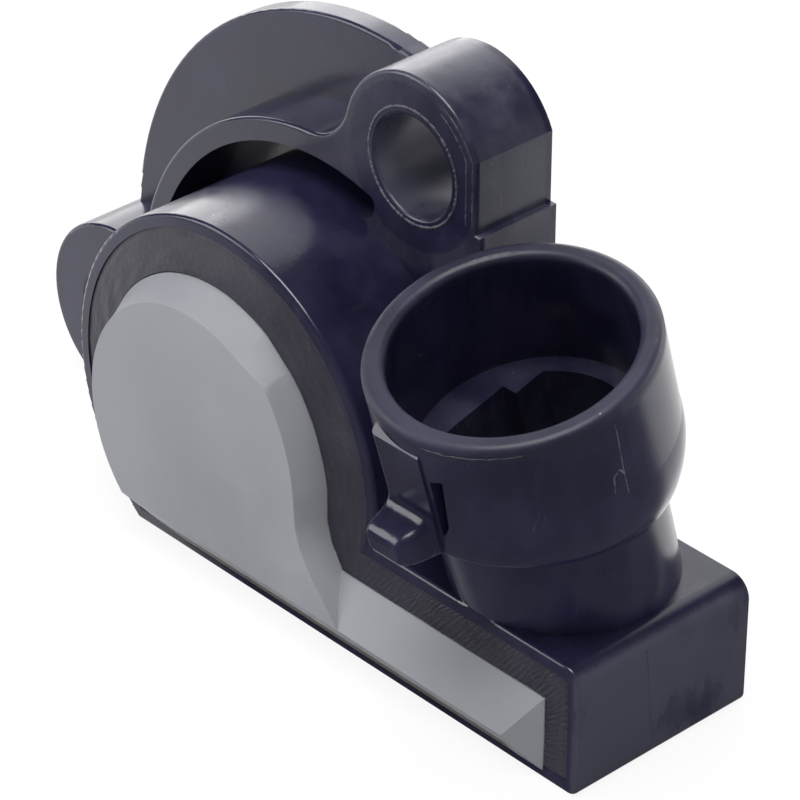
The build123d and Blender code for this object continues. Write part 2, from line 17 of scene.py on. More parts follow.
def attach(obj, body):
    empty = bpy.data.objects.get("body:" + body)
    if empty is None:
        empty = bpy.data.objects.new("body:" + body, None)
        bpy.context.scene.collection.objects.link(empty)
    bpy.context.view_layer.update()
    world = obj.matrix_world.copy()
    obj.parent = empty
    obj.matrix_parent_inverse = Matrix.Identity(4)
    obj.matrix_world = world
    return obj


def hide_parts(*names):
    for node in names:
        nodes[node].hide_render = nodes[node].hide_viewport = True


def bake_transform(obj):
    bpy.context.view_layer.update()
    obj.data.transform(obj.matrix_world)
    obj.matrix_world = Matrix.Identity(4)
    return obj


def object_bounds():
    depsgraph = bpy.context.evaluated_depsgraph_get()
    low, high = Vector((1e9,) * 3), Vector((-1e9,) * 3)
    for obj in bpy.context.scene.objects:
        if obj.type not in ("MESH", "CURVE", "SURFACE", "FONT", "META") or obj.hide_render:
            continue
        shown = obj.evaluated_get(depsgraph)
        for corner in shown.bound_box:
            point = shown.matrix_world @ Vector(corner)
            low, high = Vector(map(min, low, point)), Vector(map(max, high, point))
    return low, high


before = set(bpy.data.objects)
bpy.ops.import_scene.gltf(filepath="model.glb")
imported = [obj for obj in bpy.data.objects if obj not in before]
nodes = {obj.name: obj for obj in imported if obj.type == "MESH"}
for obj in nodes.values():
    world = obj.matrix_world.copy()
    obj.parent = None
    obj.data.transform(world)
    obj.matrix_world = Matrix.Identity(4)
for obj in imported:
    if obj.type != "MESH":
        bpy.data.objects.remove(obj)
cad_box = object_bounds()
print("nodes:", sorted(nodes))

# %% [markdown]
# ## Landmarks
# Some places on the solids are needed more than once: the leaning socket, the screw hole, the ear
# and the rim. They are written down here, in millimetres as on a drawing. X runs to the plug, the
# cover faces -Y, and Z rises from the rotor's axis.

# %% Landmarks
millimetre = 0.001
axis_height = 10.2
socket_foot = np.array([21.2, -6.55, -1.9])
socket_lean = math.radians(15.5)
socket_axis = np.array([0, -math.sin(socket_lean), math.cos(socket_lean)])
socket_height = 17.0
socket_radius = 8.15
hole_foot = np.array([7.7, 0, 17.4])
hole_axis = np.array([0, 1.0, 0])
ear_radius = 5.3
ear_flat = 12.54
ear_face = 5.7
rim_face = 13.08
block_end = 29.1
print("socket leans", round(math.degrees(socket_lean), 1), "degrees")

# %% [markdown]
# ## Camera
# The photograph is a close view from the front right and above. A camera fitted to the sensor's
# edges gives an azimuth, an elevation, a small roll and a long lens. The matrix is built from
# those angles, because a Track To constraint would lose the roll.

# %% Camera
azimuth, elevation, roll = math.radians(47.219), math.radians(32.354), math.radians(0.24)
target = Vector((0.0092, -0.0079, 0.00392))
distance = 0.237327
back = Vector((
    math.sin(azimuth) * math.cos(elevation),
    -math.cos(azimuth) * math.cos(elevation),
    math.sin(elevation),
))
level_right = Vector((math.cos(azimuth), math.sin(azimuth), 0))
level_up = back.cross(level_right)
right = level_right * math.cos(roll) + level_up * math.sin(roll)
up = back.cross(right)
camera_data = bpy.data.cameras.new("photo_camera")
camera_data.sensor_width = 36
camera_data.lens = 190.2
camera_data.clip_start = 0.01
camera = bpy.data.objects.new("photo_camera", camera_data)
bpy.context.scene.collection.objects.link(camera)
turn = Matrix((right, up, back)).transposed().to_4x4()
camera.matrix_world = Matrix.Translation(target + back * distance) @ turn
bpy.context.scene.camera = camera
print("camera at", tuple(round(x, 4) for x in camera.location))

# %% [markdown]
# ## Light
# Black plastic shows its shape by what it mirrors. A wide, low soft box behind on the left stands
# for the white backdrop and draws the long highlights on the drum and the ears, and one above it
# carries them on over the upper curves. One over the socket lights its inside, one at the left
# front lights the cover, and one low behind on the right lights the far sides of the ear and the
# socket. A weak one at the right front fills the shadows. It is left out of reflections, so it
# draws no second highlight.

# %% Light
def soft_box(name, place, width, height, watts):
    """Add an area lamp at place, turned so that its -Z axis points at the camera's target."""
    lamp = bpy.data.lights.new(name, "AREA")
    lamp.shape = "RECTANGLE"
    lamp.size, lamp.size_y, lamp.energy = width, height, watts
    box = bpy.data.objects.new(name, lamp)
    box.location = place
    box.rotation_euler = (target - Vector(place)).to_track_quat("-Z", "Y").to_euler()
    bpy.context.scene.collection.objects.link(box)
    return box


soft_box("backdrop_box", (-0.36, 0.34, 0.08), width=0.7, height=0.32, watts=2.2)
soft_box("upper_box", (-0.21, 0.35, 0.31), width=0.44, height=0.34, watts=0.75)
soft_box("socket_box", (0.02, -0.1, 0.42), width=0.26, height=0.26, watts=1.9)
soft_box("left_box", (-0.3, -0.3, 0.16), width=0.24, height=0.28, watts=0.95)
soft_box("right_box", (0.17, 0.45, 0.09), width=0.4, height=0.22, watts=0.9)
fill_box = soft_box("fill_box", (0.36, -0.16, 0.2), width=0.3, height=0.3, watts=0.4)
fill_box.visible_glossy = False
bpy.context.scene.view_settings.view_transform = "Standard"
print("lamps:", len(bpy.data.lights))

# %% [markdown]
# ## Shader helpers
# A material is a small graph. These helpers add a node with its settings and join sockets, so
# that each finish below reads as a list of what it is made of.

# %% Shader helpers
def add(tree, kind, values=None, **settings):
    """Add a node of a kind to a tree, set its attributes and the constants on its inputs."""
    made = tree.nodes.new("ShaderNode" + kind)
    for key, value in settings.items():
        setattr(made, key, value)
    for key, value in (values or {}).items():
        made.inputs[key].default_value = value
    return made


def join(tree, source, target_input):
    """Join a socket to an input socket, or set the input to a constant."""
    if isinstance(source, bpy.types.NodeSocket):
        tree.links.new(source, target_input)
    else:
        target_input.default_value = source


def reckon(tree, operation, first, *others):
    """Fold sockets and numbers with Math nodes of one operation, and return the value."""
    value = first
    for other in others:
        made = add(tree, "Math", operation=operation)
        join(tree, value, made.inputs[0])
        join(tree, other, made.inputs[1])
        value = made.outputs[0]
    return value


def product(tree, *factors):
    """Multiply sockets and numbers."""
    return reckon(tree, "MULTIPLY", *factors)


def total(tree, *terms):
    """Add sockets and numbers."""
    return reckon(tree, "ADD", *terms)


def ramp(tree, value, low, high, start=0.0, stop=1.0):
    """Map a value from low..high to start..stop, with smooth ends."""
    limits = {1: low, 2: high, 3: start, 4: stop}
    made = add(tree, "MapRange", limits, interpolation_type="SMOOTHSTEP")
    join(tree, value, made.inputs[0])
    return made.outputs[0]


def passed(tree, value, low, high):
    """Mask that goes from 0 at low to 1 at high, both in mm, for a length in metres."""
    return ramp(tree, value, low * millimetre, high * millimetre)


def tint(tree, share, first, second):
    """Mix two colours by share; each is a socket or an RGB triple."""
    made = add(tree, "Mix", data_type="RGBA")
    join(tree, share, made.inputs[0])
    for place, colour in ((6, first), (7, second)):
        is_socket = isinstance(colour, bpy.types.NodeSocket)
        join(tree, colour if is_socket else (*colour, 1), made.inputs[place])
    return made.outputs[2]


print("value helpers ready")

# %% [markdown]
# Textures are placed by Object coordinates, so a grain keeps its size on every piece. A bump
# stands only for relief that is too fine for a mesh.

# %% Texture helpers
def object_place(tree):
    """Object coordinates in metres, as a vector socket."""
    return add(tree, "TexCoord").outputs["Object"]


def split(tree, place):
    """The X, Y and Z sockets of a vector socket."""
    made = add(tree, "SeparateXYZ")
    join(tree, place, made.inputs[0])
    return made.outputs


def mapped(tree, place, scale, rotation=(0, 0, 0)):
    """Turn and stretch a vector socket; scale is a socket or a triple."""
    made = add(tree, "Mapping", {"Rotation": rotation})
    join(tree, place, made.inputs["Vector"])
    join(tree, scale, made.inputs["Scale"])
    return made.outputs[0]


def noise(tree, place, scale, detail, roughness=0.5, distortion=0.0):
    """Value of a Noise texture at a vector socket; scale is a socket or a number."""
    shape = {"Detail": detail, "Roughness": roughness, "Distortion": distortion}
    made = add(tree, "TexNoise", shape)
    join(tree, place, made.inputs["Vector"])
    join(tree, scale, made.inputs["Scale"])
    return made.outputs[0]


def new_group(name, input_name, input_kind, output_names):
    """Make a group with one input and some masks; return it, its input and its outputs."""
    group = bpy.data.node_groups.new(name, "ShaderNodeTree")
    group.interface.new_socket(input_name, in_out="INPUT", socket_type=input_kind)
    for output_name in output_names:
        group.interface.new_socket(output_name, in_out="OUTPUT", socket_type="NodeSocketFloat")
    entry = group.nodes.new("NodeGroupInput").outputs[input_name]
    return group, entry, group.nodes.new("NodeGroupOutput").inputs


def new_look(name):
    """Make an empty material and return it with its tree and its Principled shader."""
    look = bpy.data.materials.new(name)
    look.use_nodes = True
    return look, look.node_tree, look.node_tree.nodes["Principled BSDF"]


def fine_relief(tree, shader, height, strength, depth):
    """Bump a shader's normal by a height mask; depth is in metres."""
    made = add(tree, "Bump", {"Strength": strength, "Distance": depth})
    join(tree, height, made.inputs["Height"])
    join(tree, made.outputs[0], shader.inputs["Normal"])


print("texture helpers ready")

# %% [markdown]
# ## Surroundings
# The photograph is cut out on plain white. So camera rays that miss everything see white, and all
# other rays see a weak, cool fill that keeps the shadows from going dead.

# %% Surroundings
world = bpy.data.worlds.new("studio")
bpy.context.scene.world = world
world.use_nodes = True
sky = world.node_tree
sky.nodes.clear()
sky_fill = add(sky, "Background", {"Color": (0.9, 0.94, 1.0, 1), "Strength": 0.1})
sky_white = add(sky, "Background", {"Color": (1, 1, 1, 1)})
sky_pick = add(sky, "MixShader")
join(sky, add(sky, "LightPath").outputs["Is Camera Ray"], sky_pick.inputs[0])
join(sky, sky_fill.outputs[0], sky_pick.inputs[1])
join(sky, sky_white.outputs[0], sky_pick.inputs[2])
join(sky, sky_pick.outputs[0], add(sky, "OutputWorld").inputs["Surface"])
print("world:", world.name)

# %% [markdown]
# ## Floor
# The sensor stands on its flat base. The floor is a large pale sheet at that height. For camera
# rays it is mostly plain white, so it runs into the background, and the rest still takes the
# sensor's soft shadow. In reflections the sheet glows as a painted reflection: white behind the
# sensor and at its left, with a painted shade that falls off to dark towards the viewer, where
# the sensor would shade the floor.

# %% Floor
floor_level = cad_box[0][2]
floor_reach = 3
square = np.array([[-1, -1, 0], [1, -1, 0], [1, 1, 0], [-1, 1, 0]], float)
floor_mesh = bpy.data.meshes.new("floor")
floor_corners = square * floor_reach + [0, 0, floor_level]
floor_mesh.from_pydata(floor_corners.tolist(), [], [(0, 1, 2, 3)])
floor = bpy.data.objects.new("floor", floor_mesh)
bpy.context.scene.collection.objects.link(floor)
print("floor at", round(floor_level / millimetre, 2), "mm")

# %% Floor sheet
floor_look, tree, shader = new_look("pale_floor")
shader.inputs["Base Color"].default_value = (0.9, 0.9, 0.9, 1)
shader.inputs["Roughness"].default_value = 0.8
rays = add(tree, "LightPath").outputs
spot = split(tree, object_place(tree))
backward = total(tree, product(tree, spot["X"], -0.75), product(tree, spot["Y"], 0.9))
# Painted reflection: for reflected rays the sheet glows white, with painted shade falling off
# towards the viewer.
painted_reflection_falloff = ramp(tree, backward, -0.0135, -0.0065, 0.06, 1.15)
white = add(tree, "Emission")
painted_reflection_glow = product(tree, rays["Is Glossy Ray"], painted_reflection_falloff)
join(tree, total(tree, rays["Is Camera Ray"], painted_reflection_glow), white.inputs["Strength"])
white_seen = product(tree, rays["Is Camera Ray"], 0.9)
painted_reflection_share = product(tree, rays["Is Glossy Ray"], 0.92)
sheet = add(tree, "MixShader")
join(tree, total(tree, white_seen, painted_reflection_share), sheet.inputs[0])
join(tree, shader.outputs[0], sheet.inputs[1])
join(tree, white.outputs[0], sheet.inputs[2])
join(tree, sheet.outputs[0], tree.nodes["Material Output"].inputs["Surface"])
floor_mesh.materials.append(floor_look)
print("material:", floor_look.name)

# %% [markdown]
# ## Moulded skin
# Every moulded piece has a fine spark-eroded grain, slow changes of gloss where the melt cooled,
# wiped smears, hair scratches from handling, and a little dust. One node group puts these out as
# masks, and each plastic mixes them in its own measure.

# %% Grain, clouds and wipes
skin, grain_scale, skin_out = new_group(
    "moulded_skin", "Grain Scale", "NodeSocketFloat", ("Grain", "Cloud", "Wipe", "Scratch", "Dust"))
place = object_place(skin)
join(skin, noise(skin, place, grain_scale, 3.0, 0.6), skin_out["Grain"])
cloud = noise(skin, place, 150.0, 3.0)
join(skin, ramp(skin, cloud, 0.3, 0.7), skin_out["Cloud"])
wiped_way = mapped(skin, place, (1.0, 1.0, 0.22), (0.2, 0.1, 0.0))
wipe = noise(skin, wiped_way, 560.0, 4.0, 0.6)
join(skin, ramp(skin, wipe, 0.36, 0.68), skin_out["Wipe"])
print("group:", skin.name, [socket.name for socket in skin.interface.items_tree])

# %% Scratches and dust
hair_way = mapped(skin, place, (1.0, 22.0, 1.0), (0.5, 0.9, 0.3))
hair = noise(skin, hair_way, 190.0, 5.0, 0.65)
handled = noise(skin, place, 210.0, 1.0)
scratch = product(skin, ramp(skin, hair, 0.66, 0.72), ramp(skin, handled, 0.5, 0.68))
join(skin, scratch, skin_out["Scratch"])
mote = add(skin, "TexVoronoi", {"Scale": 620.0, "Randomness": 1.0})
join(skin, place, mote.inputs["Vector"])
draw = add(skin, "SeparateColor")
join(skin, mote.outputs["Color"], draw.inputs[0])
rare = ramp(skin, draw.outputs[0], 0.9, 0.95)
join(skin, product(skin, ramp(skin, mote.outputs["Distance"], 0.05, 0.0), rare), skin_out["Dust"])


def skin_of(tree, grain_scale):
    """Place the moulded skin group in a tree and return its outputs."""
    placed = add(tree, "Group", node_tree=skin)
    placed.inputs["Grain Scale"].default_value = grain_scale
    return placed.outputs


print("nodes in the group:", len(skin.nodes))

# %% [markdown]
# ## Worn places
# A plug rubs the socket's rim dull. A thin grey film lightens the screw ear's wall and the
# block's end: partly the film hands leave, partly painted sheen. The grey in the ear's hole is a
# painted reflection, and the lighter pocket and ledge in the socket are painted light in a shaded
# recess. Each place is found by lengths from the landmarks, because a formula stays sharp at any
# size.

# %% Worn places and painted light
def off_line(tree, place, foot, axis):
    """Distance from a line by its foot in mm and its unit axis: |(place - foot) x axis|."""
    away = add(tree, "VectorMath", {1: tuple(foot * millimetre)}, operation="SUBTRACT")
    join(tree, place, away.inputs[0])
    crossed = add(tree, "VectorMath", {1: tuple(axis)}, operation="CROSS_PRODUCT")
    join(tree, away.outputs[0], crossed.inputs[0])
    length = add(tree, "VectorMath", operation="LENGTH")
    join(tree, crossed.outputs[0], length.inputs[0])
    return length.outputs["Value"]


def worn_and_painted_places(tree, place):
    """Masks of the socket's rim and of handling film with painted light, from Object coordinates.

    The rim is what rises past the socket's mouth along its leaning axis. The second mask lies on
    the ear's outer wall, as handling film and painted sheen, and in its hole as a painted
    reflection, both by distance from the hole's axis. It lies on the block's end as handling film
    and painted sheen, and as painted light in the socket's pocket and on its ledge, by distance
    from the socket's axis.
    """
    spot = split(tree, place)
    risen = add(tree, "VectorMath", {1: tuple(socket_axis)}, operation="DOT_PRODUCT")
    join(tree, place, risen.inputs[0])
    rise = risen.outputs["Value"]
    rim = product(tree, passed(tree, spot["X"], 12.9, 13.1), passed(tree, rise, 15.8, 16.5))

    off_hole = off_line(tree, place, hole_foot, hole_axis)
    wall = product(tree, passed(tree, off_hole, 4.9, 5.2), passed(tree, off_hole, 6.8, 6.0))
    # Painted reflection: the grey in the ear's hole.
    bore_painted_reflection = passed(tree, off_hole, 3.25, 3.12)
    front_end = passed(tree, spot["Y"], -5.8, -5.6)
    rear_end = passed(tree, spot["Y"], -0.3, -0.6)
    ear = product(tree, total(tree, wall, bore_painted_reflection), front_end, rear_end)

    block = product(tree, passed(tree, spot["X"], 28.4, 29.0), passed(tree, spot["Z"], -1.8, -2.2))

    off_socket = off_line(tree, place, socket_foot, socket_axis)
    sunk = passed(tree, rise, 9.8, 9.5)
    # Painted light: the socket's pocket and ledge are lightened where shade falls in the recess.
    pocket = product(tree, sunk, passed(tree, off_socket, 6.1, 5.9))
    ledge = product(tree, sunk, passed(tree, rise, 9.0, 9.3), passed(tree, off_socket, 6.9, 6.8))
    pocket_painted_light = product(tree, reckon(tree, "MAXIMUM", pocket, ledge), 0.4)
    return rim, total(tree, pocket_painted_light, ear, block)


print("worn places ready")

# %% [markdown]
# ## Housing plastic
# The housing is a glass-filled nylon, almost black with a blue cast, and satin where it left a
# polished mould. Wide soft clouds in its gloss are the smears that fingers and oil leave on such
# a part. Flash and mould lines are the same plastic, rubbed pale, so one function makes both.

# %% Housing plastic
# Grey of the handling film. On the ear and the block's end it is also painted sheen, in the ear's
# hole a painted reflection, and in the socket painted light.
film_and_sheen_grey = (0.046, 0.046, 0.07)
scratch_grey = (0.14, 0.14, 0.16)
dust_grey = (0.45, 0.45, 0.45)


def plastic(name, dark, pale, smooth, rough, rim_rough):
    """A moulded black: its colour and gloss follow its smears, and the socket's rim is duller."""
    look, tree, shader = new_look(name)
    marks = skin_of(tree, 5200.0)
    rim, film_and_painted_light = worn_and_painted_places(tree, object_place(tree))
    smear = total(tree, product(tree, marks["Cloud"], 0.7), product(tree, marks["Wipe"], 0.3))
    # Partly handling film and partly painted light: painted sheen, painted reflection and painted
    # light in the socket.
    filmed_and_lit = product(tree, film_and_painted_light, ramp(tree, smear, 0.1, 0.7, 0.2, 0.95))
    colour = tint(tree, smear, dark, pale)
    colour = tint(tree, filmed_and_lit, colour, film_and_sheen_grey)
    colour = tint(tree, product(tree, marks["Scratch"], 0.5), colour, scratch_grey)
    colour = tint(tree, product(tree, marks["Dust"], 0.8), colour, dust_grey)
    join(tree, colour, shader.inputs["Base Color"])
    gloss = ramp(tree, smear, 0.2, 0.8, smooth, rough)
    gloss = total(tree, gloss, product(tree, rim, rim_rough), product(tree, film_and_painted_light, 0.08))
    join(tree, gloss, shader.inputs["Roughness"])
    fine_relief(tree, shader, product(tree, marks["Grain"], 0.35), 0.5, 0.00003)
    print("material:", name)
    return look


housing_look = plastic(
    "housing_plastic", dark=(0.0082, 0.0078, 0.0235), pale=(0.0205, 0.0195, 0.05),
    smooth=0.16, rough=0.25, rim_rough=0.3)
worn_look = plastic(
    "flash_plastic", dark=(0.03, 0.029, 0.045), pale=(0.12, 0.118, 0.135),
    smooth=0.3, rough=0.45, rim_rough=0.1)

# %% [markdown]
# ## Rolled rim
# After the cover is laid in, a hot roller folds the housing's rim over its edge. The folded
# plastic comes out rougher and greyer than the moulded skin, with pale specks where the glass
# fibres show.

# %% Rolled rim
fibre_grey = (0.11, 0.105, 0.12)
rim_look, tree, shader = new_look("rolled_rim")
marks = skin_of(tree, 9000.0)
speck = product(tree, ramp(tree, marks["Grain"], 0.56, 0.68), 0.5)
folded = tint(tree, marks["Cloud"], (0.017, 0.0155, 0.027), (0.035, 0.032, 0.048))
join(tree, tint(tree, speck, folded, fibre_grey), shader.inputs["Base Color"])
join(tree, ramp(tree, marks["Grain"], 0.35, 0.65, 0.3, 0.46), shader.inputs["Roughness"])
fine_relief(tree, shader, marks["Grain"], 0.5, 0.00003)
print("material:", rim_look.name)

# %% [markdown]
# ## Cover plastic
# The cover is a plain grey moulding with a matte, even grain, a little lighter where fingers have
# polished it. Along its lowest edge a pale line is a painted highlight, and a darker hem under it
# is painted shade where the face turns down. Both follow the height over the base, moved a little
# by the wiped smears so that they waver.

# %% Cover plastic
# Painted shade: the grey of the darker hem under the cover's lowest edge.
painted_shade_grey = (0.115, 0.11, 0.1)
# Painted highlight: the white of the pale line along the cover's lowest edge.
painted_highlight_white = (0.62, 0.62, 0.6)
cover_look, tree, shader = new_look("cover_plastic")
marks = skin_of(tree, 4200.0)
spot = split(tree, object_place(tree))
height = total(tree, spot["Z"], product(tree, marks["Wipe"], 0.0001))
along_rail = passed(tree, spot["X"], 24.6, 24.0)
# Painted shade: a darker hem under the lowest edge, where the face turns down.
painted_shade_hem = product(tree, passed(tree, height, -8.2, -8.35), along_rail, 0.85)
over_hem = passed(tree, height, -8.25, -8.17)
under_face = passed(tree, height, -8.07, -8.15)
# Painted highlight: a pale line along the lowest edge.
painted_highlight_line = product(tree, over_hem, under_face, along_rail, 0.6)
colour = tint(tree, marks["Cloud"], (0.225, 0.233, 0.255), (0.25, 0.258, 0.278))
colour = tint(tree, product(tree, marks["Scratch"], 0.3), colour, (0.4, 0.41, 0.42))
colour = tint(tree, painted_shade_hem, colour, painted_shade_grey)
colour = tint(tree, painted_highlight_line, colour, painted_highlight_white)
colour = tint(tree, product(tree, marks["Dust"], 0.5), colour, (0.6, 0.6, 0.6))
join(tree, colour, shader.inputs["Base Color"])
join(tree, ramp(tree, marks["Cloud"], 0.0, 1.0, 0.5, 0.62), shader.inputs["Roughness"])
fine_relief(tree, shader, marks["Grain"], 0.4, 0.00002)
print("material:", cover_look.name)

# %% [markdown]
# ## Rubber
# The gasket under the cover and the ring round the shaft are black rubber, pressed in a blasted
# mould: matte, with a bloom of grey powder in soft patches.

# %% Rubber
rubber_look, tree, shader = new_look("rubber")
marks = skin_of(tree, 7000.0)
bloom = product(tree, marks["Cloud"], 0.4)
colour = tint(tree, bloom, (0.016, 0.016, 0.017), (0.05, 0.05, 0.052))
join(tree, colour, shader.inputs["Base Color"])
join(tree, ramp(tree, marks["Grain"], 0.3, 0.7, 0.62, 0.82), shader.inputs["Roughness"])
fine_relief(tree, shader, marks["Grain"], 0.5, 0.00003)
print("material:", rubber_look.name)

# %% [markdown]
# ## Rotor plastic
# The rotor is a pale acetal moulding, slippery and slightly waxy, with faint flow clouds and hair
# scratches from its bearing.

# %% Rotor plastic
rotor_look, tree, shader = new_look("rotor_acetal")
marks = skin_of(tree, 4600.0)
waxy = tint(tree, marks["Cloud"], (0.58, 0.555, 0.495), (0.66, 0.64, 0.585))
scored = tint(tree, product(tree, marks["Scratch"], 0.4), waxy, (0.44, 0.42, 0.37))
join(tree, scored, shader.inputs["Base Color"])
join(tree, ramp(tree, marks["Cloud"], 0.0, 1.0, 0.3, 0.42), shader.inputs["Roughness"])
fine_relief(tree, shader, marks["Grain"], 0.3, 0.00002)
print("material:", rotor_look.name)

# %% [markdown]
# ## Element board
# The board is a resin laminate. The cloth inside it shows through as a fine crossed weave, made
# here by two sets of bands at right angles, blurred by the resin over them.

# %% Element board
board_look, tree, shader = new_look("laminate_board")
place = object_place(tree)
thread = {"Scale": 700.0, "Distortion": 1.5, "Detail": 2.0}
bands = [add(tree, "TexWave", thread, bands_direction=way) for way in ("X", "Z")]
for band in bands:
    join(tree, place, band.inputs["Vector"])
weave = product(tree, total(tree, *(band.outputs["Fac"] for band in bands)), 0.5)
marks = skin_of(tree, 3000.0)
cloth = tint(tree, weave, (0.26, 0.18, 0.08), (0.4, 0.3, 0.15))
resin = tint(tree, product(tree, marks["Cloud"], 0.35), cloth, (0.3, 0.21, 0.09))
join(tree, resin, shader.inputs["Base Color"])
join(tree, ramp(tree, weave, 0.0, 1.0, 0.42, 0.28), shader.inputs["Roughness"])
fine_relief(tree, shader, weave, 0.3, 0.00002)
print("material:", board_look.name)

# %% [markdown]
# ## Resistor track
# The track is carbon ink, screen printed and trimmed: matte black with a fine sparkle of
# graphite.

# %% Resistor track
carbon_look, tree, shader = new_look("carbon_ink")
marks = skin_of(tree, 16000.0)
flake = ramp(tree, marks["Grain"], 0.55, 0.7)
colour = tint(tree, flake, (0.014, 0.014, 0.015), (0.075, 0.075, 0.08))
join(tree, colour, shader.inputs["Base Color"])
join(tree, ramp(tree, marks["Grain"], 0.3, 0.7, 0.6, 0.38), shader.inputs["Roughness"])
fine_relief(tree, shader, marks["Grain"], 0.4, 0.00001)
print("material:", carbon_look.name)

# %% [markdown]
# ## Metal surface
# Strip and wire carry fine lines along the way they were rolled or drawn, and dull in patches as
# they age. One group puts out both as masks. The printed silver, the tinned terminals, the bronze
# wiper and the steel spring use it with their own colours.

# %% Metal surface group
metal, stretch_in, metal_out = new_group(
    "worked_metal", "Stretch", "NodeSocketVector", ("Line", "Tarnish"))
place = object_place(metal)
line = noise(metal, mapped(metal, place, stretch_in), 600.0, 4.0, 0.7)
join(metal, line, metal_out["Line"])
patch = noise(metal, place, 420.0, 5.0, 0.6, 0.8)
join(metal, ramp(metal, patch, 0.45, 0.72), metal_out["Tarnish"])
print("group:", metal.name, [socket.name for socket in metal.interface.items_tree])


# %% Metals
def metal_look(name, stretch, bright, dull, smooth, rough):
    """A metal: its colour goes from bright to dull by tarnish, and its gloss follows its lines."""
    look, tree, shader = new_look(name)
    shader.inputs["Metallic"].default_value = 1.0
    placed = add(tree, "Group", node_tree=metal)
    placed.inputs["Stretch"].default_value = stretch
    marks = placed.outputs
    join(tree, tint(tree, marks["Tarnish"], bright, dull), shader.inputs["Base Color"])
    join(tree, ramp(tree, marks["Line"], 0.35, 0.65, smooth, rough), shader.inputs["Roughness"])
    fine_relief(tree, shader, marks["Line"], 0.25, 0.00001)
    print("material:", name)
    return look


silver_look = metal_look(
    "printed_silver", (4, 4, 4), bright=(0.78, 0.77, 0.73), dull=(0.6, 0.56, 0.48),
    smooth=0.34, rough=0.55)
tinned_look = metal_look(
    "tinned_terminal", (8, 1, 8), bright=(0.77, 0.75, 0.69), dull=(0.62, 0.59, 0.52),
    smooth=0.2, rough=0.38)
bronze_look = metal_look(
    "bronze_wiper", (1, 8, 8), bright=(0.76, 0.55, 0.31), dull=(0.55, 0.36, 0.19),
    smooth=0.18, rough=0.34)
steel_look = metal_look(
    "spring_steel", (6, 1, 6), bright=(0.62, 0.62, 0.62), dull=(0.46, 0.45, 0.43),
    smooth=0.22, rough=0.36)

# %% [markdown]
# ## Dress the solids
# Each CAD solid keeps its shape and takes the finish of what it is made of.

# %% Dress the solids
finishes = {
    "housing": housing_look, "cover": cover_look,
    "cover_gasket": rubber_look, "shaft_seal": rubber_look,
    "element_board": board_look, "resistor_track": carbon_look,
    "collector_track": silver_look, "conductor_traces": silver_look,
    "terminal_signal": tinned_look, "terminal_ground": tinned_look,
    "terminal_supply": tinned_look, "wiper": bronze_look,
    "rotor": rotor_look, "return_spring": steel_look,
}
for node_name, look in finishes.items():
    nodes[node_name].data.materials.clear()
    nodes[node_name].data.materials.append(look)
print("dressed:", len(finishes), "of", len(nodes))

# %% [markdown]
# ## Surfaces from arrays
# The small marks left by moulding and rolling are real relief, so they are meshes. Each is a
# closed section carried along a path: a grid of points with one row for each station. Sums of
# sines with random pitch make the ragged edges, because they are smooth, repeatable and need no
# stored data.

# %% Paths and ripples
def ripple(along, across, longest, shortest, seed, terms=20):
    """Sum of sines over two lengths in mm: sum(sin(a*along + b*across + c)) / sqrt(terms).

    a is 2 pi over a wavelength drawn between shortest and longest, b is a share of a, c a phase.
    """
    pick = np.random.default_rng(seed)
    a = 2 * np.pi / np.exp(pick.uniform(np.log(shortest), np.log(longest), terms))
    b = a * pick.uniform(-0.6, 0.6, terms)
    c = pick.uniform(0, 2 * np.pi, terms)
    return np.sin(along[..., None] * a + across[..., None] * b + c).sum(-1) / math.sqrt(terms)


def walked_lengths(points):
    """Length walked along a polyline up to each point: the running sum of its steps."""
    return np.concatenate([[0], np.cumsum(np.linalg.norm(np.diff(points, axis=0), axis=1))])


def stations(points, count):
    """Points at equal steps along a polyline: coordinates interpolated over the length walked."""
    points = np.asarray(points, float)
    walked = walked_lengths(points)
    at = np.linspace(0, walked[-1], count)
    return np.stack([np.interp(at, walked, points[:, k]) for k in range(points.shape[1])], 1)


def arc(centre, radius, start, stop, count=160):
    """Points on a circle: centre + radius * (cos a, sin a), a from start to stop in degrees."""
    a = np.radians(np.linspace(start, stop, count))
    return np.stack([centre[0] + radius * np.cos(a), centre[1] + radius * np.sin(a)], 1)


def bow(first, middle, last, count=40):
    """Points on the parabola through three points, taken at t = 0, 1/2 and 1."""
    t = np.linspace(0, 1, count)[:, None]
    first, middle, last = (np.array(point) for point in (first, middle, last))
    return first * (2 * t - 1) * (t - 1) + middle * 4 * t * (1 - t) + last * t * (2 * t - 1)


print("path helpers ready")


# %% Skin of a piece
def carry(name, sections, look, ring=False):
    """Skin a grid of closed sections in mm: quads join neighbours, open paths get end faces."""
    index = np.arange(sections.shape[0] * sections.shape[1]).reshape(sections.shape[:2])
    rows = np.vstack([index, index[:1]]) if ring else index
    rows = np.hstack([rows, rows[:, :1]])
    quads = np.stack([rows[:-1, :-1], rows[1:, :-1], rows[1:, 1:], rows[:-1, 1:]], -1)
    ends = [] if ring else [index[0].tolist(), index[-1].tolist()]
    points = sections.reshape(-1, 3) * millimetre
    mesh = bpy.data.meshes.new(name)
    mesh.from_pydata(points.tolist(), [], quads.reshape(-1, 4).tolist() + ends)
    shape = bmesh.new()
    shape.from_mesh(mesh)
    bmesh.ops.remove_doubles(shape, verts=shape.verts, dist=1e-7)
    bmesh.ops.recalc_face_normals(shape, faces=shape.faces)
    shape.to_mesh(mesh)
    shape.free()
    mesh.shade_smooth()
    mesh.materials.append(look)
    piece = bpy.data.objects.new(name, mesh)
    bpy.context.scene.collection.objects.link(piece)
    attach(piece, "sensor_body")
    print(name, len(mesh.polygons), "faces")


print("surface helper ready")

